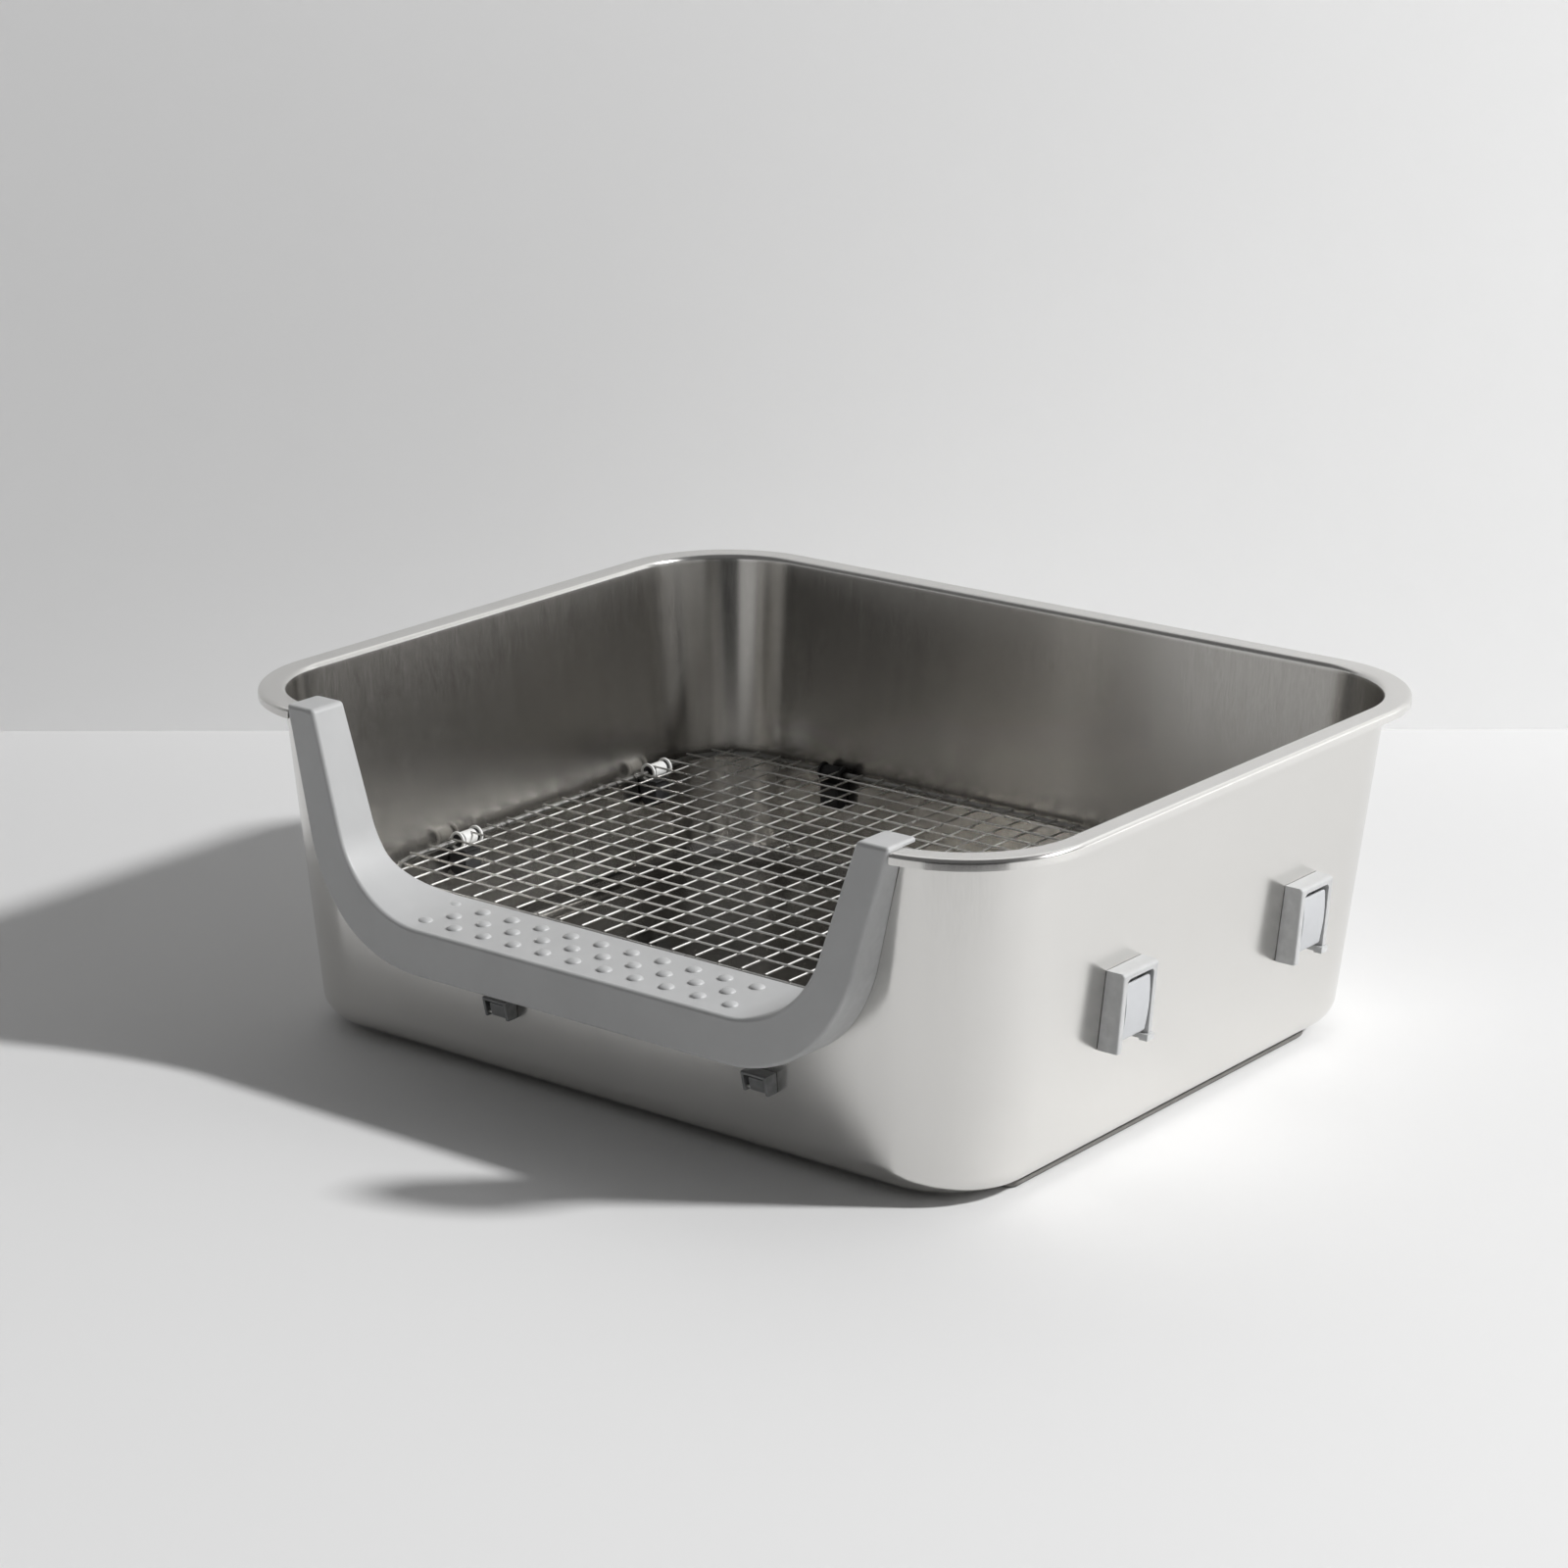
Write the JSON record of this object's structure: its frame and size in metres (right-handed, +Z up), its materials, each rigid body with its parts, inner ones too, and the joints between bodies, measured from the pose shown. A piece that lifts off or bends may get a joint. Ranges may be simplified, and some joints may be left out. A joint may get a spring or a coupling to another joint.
{
  "type": "small animal litter tray",
  "caption": "Deep steel litter tray with a low front entry under a moulded guard, a lift-out wire grid, side latches and rubber feet.",
  "frame": {"origin": "centre of the footprint, on the surface that the foot strips stand on", "axes": "+X along the long side, +Y from the low entry towards the back, +Z up"},
  "size_m": [0.44, 0.3658, 0.1608],
  "materials": {
    "brushed_steel_sheet": "satin, fine horizontal brushing outside, smoother inside",
    "steel_wire": "bright drawn and polished wire",
    "grey_plastic": "light grey moulding, satin",
    "pale_plastic": "pale blue-grey moulding, satin",
    "dark_grey_plastic": "dark grey moulding, satin",
    "white_plastic": "white moulding, satin",
    "black_rubber": "matt",
    "grey_rubber": "matt"
  },
  "bodies": {
    "tray": {"tray_shell": "brushed_steel_sheet", "foot_strip_right": "grey_rubber", "foot_strip_left": "grey_rubber", "latch_right_front_housing": "grey_plastic", "latch_right_front_pin": "steel_wire", "latch_right_front_stud": "steel_wire", "latch_right_back_housing": "grey_plastic", "latch_right_back_pin": "steel_wire", "latch_right_back_stud": "steel_wire", "latch_left_front_housing": "grey_plastic", "latch_left_front_pin": "steel_wire", "latch_left_front_stud": "steel_wire", "latch_left_back_housing": "grey_plastic", "latch_left_back_pin": "steel_wire", "latch_left_back_stud": "steel_wire", "catch_left_housing": "dark_grey_plastic", "catch_left_pin": "steel_wire", "catch_left_stud": "steel_wire", "catch_right_housing": "dark_grey_plastic", "catch_right_pin": "steel_wire", "catch_right_stud": "steel_wire"},
    "guard": {"entry_guard": "grey_plastic"},
    "grid": {"grid_frame": "steel_wire", "grid_mesh": "steel_wire", "grid_clip_1": "white_plastic", "grid_pad_1": "black_rubber", "grid_clip_2": "white_plastic", "grid_pad_2": "black_rubber", "grid_clip_3": "white_plastic", "grid_pad_3": "black_rubber", "grid_clip_4": "white_plastic", "grid_pad_4": "black_rubber", "grid_clip_5": "black_rubber", "grid_pad_5": "black_rubber", "grid_clip_6": "black_rubber", "grid_pad_6": "black_rubber"},
    "latch_right_front": {"latch_right_front_lever": "pale_plastic"},
    "latch_right_back": {"latch_right_back_lever": "pale_plastic"},
    "latch_left_front": {"latch_left_front_lever": "pale_plastic"},
    "latch_left_back": {"latch_left_back_lever": "pale_plastic"},
    "catch_left": {"catch_left_lever": "dark_grey_plastic"},
    "catch_right": {"catch_right_lever": "dark_grey_plastic"}
  },
  "joints": [
    {"name": "grid_lift", "type": "slide", "parent": "tray", "child": "grid", "axis": [0, 0, 1], "range_m": [0, 0.12]},
    {"name": "guard_lift", "type": "slide", "parent": "tray", "child": "guard", "axis": [0, -0.0676, 0.9977], "range_m": [0, 0.12]},
    {"name": "latch_right_front_swing", "type": "hinge", "parent": "tray", "child": "latch_right_front", "pos_m": [0.2056, -0.06085, 0.0589], "axis": [0, 1, 0], "range_deg": [0, 50]},
    {"name": "latch_right_back_swing", "type": "hinge", "parent": "tray", "child": "latch_right_back", "pos_m": [0.2056, 0.07835, 0.0589], "axis": [0, 1, 0], "range_deg": [0, 50]},
    {"name": "latch_left_front_swing", "type": "hinge", "parent": "tray", "child": "latch_left_front", "pos_m": [-0.2056, -0.06085, 0.0589], "axis": [0, -1, 0], "range_deg": [0, 50]},
    {"name": "latch_left_back_swing", "type": "hinge", "parent": "tray", "child": "latch_left_back", "pos_m": [-0.2056, 0.07835, 0.0589], "axis": [0, -1, 0], "range_deg": [0, 50]},
    {"name": "catch_left_swing", "type": "hinge", "parent": "tray", "child": "catch_left", "pos_m": [-0.05627, -0.16285, 0.0365], "axis": [1, 0, 0], "range_deg": [0, 40]},
    {"name": "catch_right_swing", "type": "hinge", "parent": "tray", "child": "catch_right", "pos_m": [0.08863, -0.16285, 0.0365], "axis": [1, 0, 0], "range_deg": [0, 40]}
  ]
}
